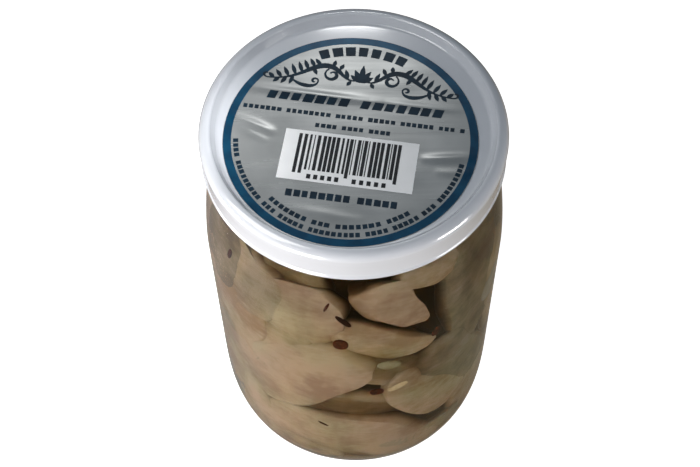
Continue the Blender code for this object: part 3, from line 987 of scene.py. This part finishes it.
def wall_piece(seed, angle, height, length, width, tilt, inset, taper, bow, cuts):
    """A piece of fish lying against the glass: a rounded slab wrapped round the inside."""
    block = rounded_block(cuts)
    lean = math.radians(tilt)
    for vert in block.verts:
        spot = vert.co.copy()
        uneven = unevenness(spot, seed) * PIECE_UNEVEN
        fine = noise.noise(spot * FINE_SCALE + Vector((seed * 2.3, 1.7, 0.4)))
        along = (spot.x + uneven.x) * length / 2
        across = (spot.y + uneven.y) * width / 2 * (1.0 + taper * spot.x) + bow * length * spot.x**2
        belly = 1.0 - PIECE_LEAN * spot.y * (1 if seed % 2 else -1)
        face = 1.0 - (1.0 - spot.z) ** PIECE_FLATNESS if spot.z > 0 else spot.z
        depth = inset + PIECE_THICKNESS * (1.0 - face * belly + uneven.z + PIECE_FINE * fine) / 2
        turned_along = along * math.cos(lean) - across * math.sin(lean)
        turned_up = along * math.sin(lean) + across * math.cos(lean)
        vert.co = on_glass(angle, height, turned_along, turned_up, max(depth, GLASS_FILM))
    return block


def small_piece(angle, height, length, width, tilt, thickness, squareness, depth):
    """An onion sliver or a spice, flat against the glass."""
    block = rounded_block(SMALL_CUTS, squareness)
    lean = math.radians(tilt)
    for vert in block.verts:
        along = vert.co.x * length / 2
        across = vert.co.y * width / 2
        turned_along = along * math.cos(lean) - across * math.sin(lean)
        turned_up = along * math.sin(lean) + across * math.cos(lean)
        inwards = depth + thickness * (1.0 - vert.co.z) / 2
        vert.co = on_glass(angle, height, turned_along, turned_up, inwards)
    return block


def lying_piece(seed, angle, ring, height):
    """A piece lying flat at a height, its middle on a ring round the axis."""
    block = rounded_block(BACK_CUTS)
    length, width, thickness = LYING_SIZE
    middle = Vector((ring * math.sin(angle), -ring * math.cos(angle), height))
    for vert in block.verts:
        spot = vert.co.copy()
        spot += unevenness(spot, seed) * PIECE_UNEVEN
        along = spot.x * length / 2
        across = spot.y * width / 2
        place = middle + Vector(
            (
                along * math.cos(angle) - across * math.sin(angle),
                along * math.sin(angle) + across * math.cos(angle),
                spot.z * thickness / 2,
            )
        )
        place.z = min(max(place.z, FLOOR_INSIDE + GAP * 2), TOP_LIMIT)
        most = min(inner_radius(place.z), NECK_INSIDE) - GAP - GLASS_FILM
        reach = math.hypot(place.x, place.y)
        if reach > most:
            place.x *= most / reach
            place.y *= most / reach
        vert.co = place
    return block


def back_pieces():
    """The pieces round the back, in staggered columns, each with its own size and lean."""
    pieces = []
    step = (BACK_END - BACK_START) / (BACK_COLUMNS - 1)
    for column in range(BACK_COLUMNS):
        for row, height in enumerate(BACK_ROWS):
            number = column * len(BACK_ROWS) + row
            change = noise.noise_vector(Vector((number * 1.7, 4.2, 0.5)))
            angle = BACK_START + column * step + (row % 2) * step * BACK_STAGGER + change.x * BACK_SHIFT
            length = BACK_SIZE[0] * (1 + BACK_CHANGE[0] * change.y)
            width = BACK_SIZE[1] * (1 + BACK_CHANGE[1] * change.z)
            tilt = BACK_TILTS[number % len(BACK_TILTS)] + change.x * BACK_TURN
            inset = BACK_INSET * (number % 3)
            tone = BACK_TONES[number % len(BACK_TONES)]
            middle = height + change.y * BACK_LIFT
            pieces.append((tone, angle, middle, length, width, tilt, inset, 0.0, 0.0))
    return pieces


def joined(name, blocks, material):
    """Several closed shapes as one smooth-shaded object."""
    whole = bmesh.new()
    for block in blocks:
        mesh = bpy.data.meshes.new("part_of_" + name)
        block.to_mesh(mesh)
        block.free()
        whole.from_mesh(mesh)
        bpy.data.meshes.remove(mesh)
    mesh = bpy.data.meshes.new(name)
    whole.to_mesh(mesh)
    whole.free()
    mesh.shade_smooth()
    return new_object(name, mesh, material)


def make_fish():
    """The herring pieces, one object for each tone of flesh or skin."""
    by_tone = {tone: [] for tone in TONES}
    for seed, (tone, *piece) in enumerate(FRONT_PIECES):
        by_tone[tone].append(wall_piece(seed, *piece, FRONT_CUTS))
    for seed, (tone, *piece) in enumerate(back_pieces(), start=len(FRONT_PIECES)):
        by_tone[tone].append(wall_piece(seed, *piece, BACK_CUTS))
    for number in range(FLOOR_PIECES):
        angle = math.tau * number / FLOOR_PIECES
        piece = lying_piece(FLOOR_SEED + number, angle, FLOOR_RING, FLOOR_HEIGHT)
        by_tone["tan"].append(piece)
    for number in range(TOP_PIECES):
        angle = math.tau * (number + TOP_TURN) / TOP_PIECES
        by_tone["pink"].append(lying_piece(TOP_SEED + number, angle, TOP_RING, TOP_HEIGHT))
    pieces = []
    for tone, colours in TONES.items():
        material = fish_material("herring_" + tone, *colours)
        pieces.append(joined("herring_" + tone, by_tone[tone], material))
    return pieces


def make_core(material):
    """A plain dark core behind the pieces, seen only in the gaps between them, where its dark colour is
    painted shade.
    """
    core = bmesh.new()
    bmesh.ops.create_cone(
        core,
        cap_ends=True,
        segments=CORE_SIDES,
        radius1=CORE_RADIUS,
        radius2=CORE_RADIUS,
        depth=CORE_TOP - CORE_BOTTOM,
    )
    bmesh.ops.translate(core, verts=core.verts, vec=(0, 0, (CORE_TOP + CORE_BOTTOM) / 2))
    return joined("herring_core", [core], material)


def make_onions(material):
    """The pale onion slivers."""
    looks = (ONION_THICKNESS, ONION_SQUARENESS, ONION_DEPTH)
    blocks = [small_piece(*onion, *looks) for onion in ONIONS]
    return joined("onion_slivers", blocks, material)


def make_spices(kind, squareness, material):
    """The spices of one kind."""
    looks = (SPICE_THICKNESS, squareness, SPICE_DEPTH)
    blocks = [small_piece(*spice, *looks) for name, *spice in SPICES if name == kind]
    return joined("spice_" + kind, blocks, material)


def make_camera():
    """The camera that the photograph was fitted to."""
    down = math.radians(CAMERA_DOWN)
    roll = math.radians(CAMERA_ROLL)
    forward = Vector((0.0, math.cos(down), -math.sin(down)))
    right = Vector((1.0, 0.0, 0.0))
    up = right.cross(forward)
    camera_right = right * math.cos(roll) + up * math.sin(roll)
    camera_up = up * math.cos(roll) - right * math.sin(roll)
    turn = Matrix((camera_right, camera_up, -forward)).transposed().to_4x4()
    camera = bpy.data.objects.new("camera", bpy.data.cameras.new("camera"))
    bpy.context.scene.collection.objects.link(camera)
    camera.matrix_world = Matrix.Translation(Vector(CAMERA_TARGET) - forward * CAMERA_DISTANCE) @ turn
    camera.data.lens = LENS
    bpy.context.scene.camera = camera


def make_world():
    """A sky-grey surround above the floor's level, and below it a brown one that pales from the front
    to the sides and the back."""
    world = bpy.data.worlds.new("studio")
    bpy.context.scene.world = world
    world.use_nodes = True
    tree = world.node_tree
    add = node_adder(tree)
    place = add("ShaderNodeTexCoord").outputs["Generated"]
    split = add("ShaderNodeSeparateXYZ", Vector=place)

    def blend(axis, start, end, first, second):
        share = add("ShaderNodeMapRange", Value=split.outputs[axis], From_Min=start, From_Max=end)
        ends = {"A": first, "B": second}
        mix = add("ShaderNodeMix", {"data_type": "RGBA"}, Factor=share.outputs["Result"], **ends)
        return mix.outputs["Result"]

    sides = blend("X", -0.4, 0.4, WORLD_LEFT, WORLD_RIGHT)
    below = blend("Y", -0.5, 0.1, WORLD_FRONT, sides)
    whole = blend("Z", -0.05, 0.05, below, WORLD_ABOVE)
    set_inputs(tree, tree.nodes["Background"], {"Color": whole})


def place_lamp(lamp, place, aim, power):
    """Puts a lamp at a place, turned to shine at a point."""
    lamp.energy = power
    light = bpy.data.objects.new(lamp.name, lamp)
    bpy.context.scene.collection.objects.link(light)
    light.location = place
    light.rotation_euler = (Vector(aim) - Vector(place)).to_track_quat("-Z", "Y").to_euler()


def make_lamps():
    """The soft rectangular lamps and the narrow ones."""
    for name, place, aim, size, power, colour in LAMPS:
        lamp = bpy.data.lights.new(name, "AREA")
        lamp.shape = "RECTANGLE"
        lamp.size, lamp.size_y = size
        lamp.color = colour
        place_lamp(lamp, place, aim, power)
    for name, place, aim, power, cone in SPOTS:
        lamp = bpy.data.lights.new(name, "SPOT")
        lamp.spot_size = math.radians(cone)
        lamp.spot_blend = 1.0
        lamp.shadow_soft_size = SPOT_RADIUS
        place_lamp(lamp, place, aim, power)


def make_floor():
    """A pale floor that shows to the camera only."""
    half = FLOOR_HALF
    mesh = bpy.data.meshes.new("floor")
    corners = [(-half, -half, 0), (half, -half, 0), (half, half, 0), (-half, half, 0)]
    mesh.from_pydata(corners, [], [(0, 1, 2, 3)])
    floor = new_object("floor", mesh, floor_material())
    floor.visible_diffuse = False
    floor.visible_glossy = False
    floor.visible_transmission = False


def dress(piece, slot, *nodes):
    """Rides a piece on the jar and hides the solids that it stands for. The slot is not used."""
    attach(piece, "root")
    if nodes:
        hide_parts(*nodes)


def main():
    dress(make_jar(), "glass", "jar_glass")
    dress(turned("white_lid", lid_profile(), lid_material()), "lid_white", "lid")
    dress(make_foil(foil_material()), "label_foil", "lid_label")
    for piece in (
        make_ring(print_material("ring_ink", *RING_INK)),
        make_blue_print(print_material("blue_ink", *BLUE_INK)),
        make_panel(print_material("white_ink", *WHITE_INK)),
        make_bars(print_material("black_ink", *BLACK_INK)),
    ):
        dress(piece, "label_foil")
    contents = make_fish()
    contents.append(make_core(fish_material("gap_shade", *CORE_TONES)))
    contents.append(make_onions(fish_material("onion", *ONION_TONES)))
    for kind, (squareness, *looks) in SPICE_LOOKS.items():
        contents.append(make_spices(kind, squareness, spice_material(*looks)))
    contents.append(turned("brine", brine_profile(), brine_material()))
    for piece in contents:
        dress(piece, "herring", "herring_heap")
    make_camera()
    make_world()
    make_lamps()
    make_floor()
    bpy.context.scene.view_settings.view_transform = "Standard"


main()
